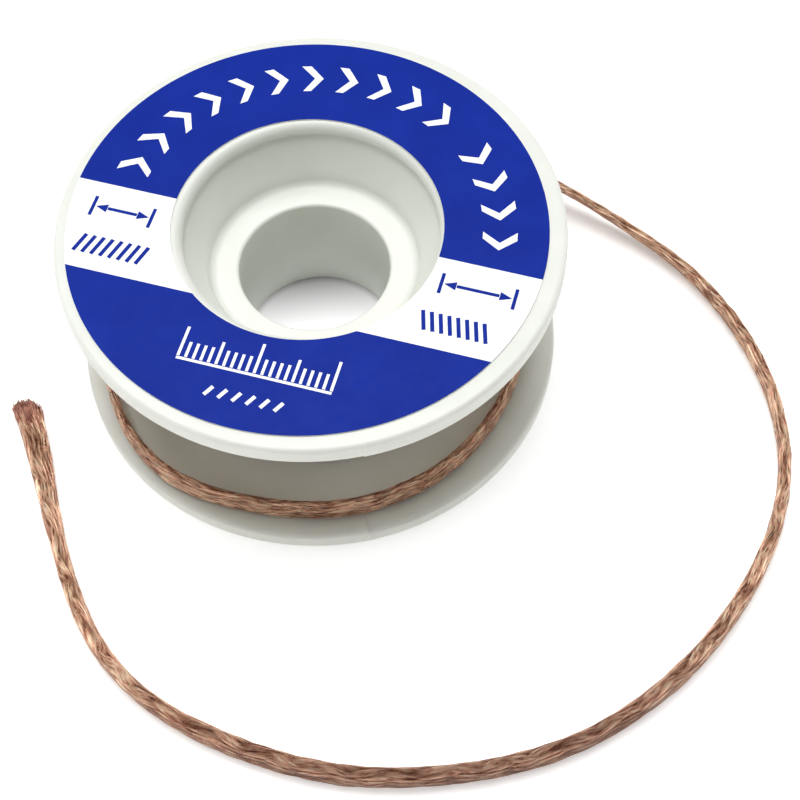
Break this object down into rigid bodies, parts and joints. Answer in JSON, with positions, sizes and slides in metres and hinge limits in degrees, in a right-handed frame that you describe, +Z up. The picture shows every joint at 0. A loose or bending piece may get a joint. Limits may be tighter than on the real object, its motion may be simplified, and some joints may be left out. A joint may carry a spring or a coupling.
{
  "type": "desoldering braid bobbin",
  "caption": "White plastic bobbin of flat copper desoldering braid, with a printed ring label, a stepped recess round its bore and the braid's free end lying round it.",
  "frame": {"origin": "on the bobbin's axis, in the plane of its resting face", "axes": "+Z up along the bobbin's axis, towards the labelled face; -Y towards the side where the tail crosses in front"},
  "size_m": [0.0713, 0.0672, 0.0179],
  "materials": {
    "white_plastic": "satin",
    "label_print": "satin",
    "copper_braid": "bright bare copper wires"
  },
  "bodies": {
    "bobbin_body": {"bobbin": "white_plastic", "label": "label_print", "wound_braid": "copper_braid"},
    "braid_body": {"free_braid": "copper_braid", "frayed_tip": "copper_braid"}
  },
  "joints": [
    {"name": "braid_unwinding", "type": "hinge", "parent": "bobbin_body", "child": "braid_body", "pos_m": [0, 0, 0], "axis": [0, 0, 1], "continuous": true}
  ]
}
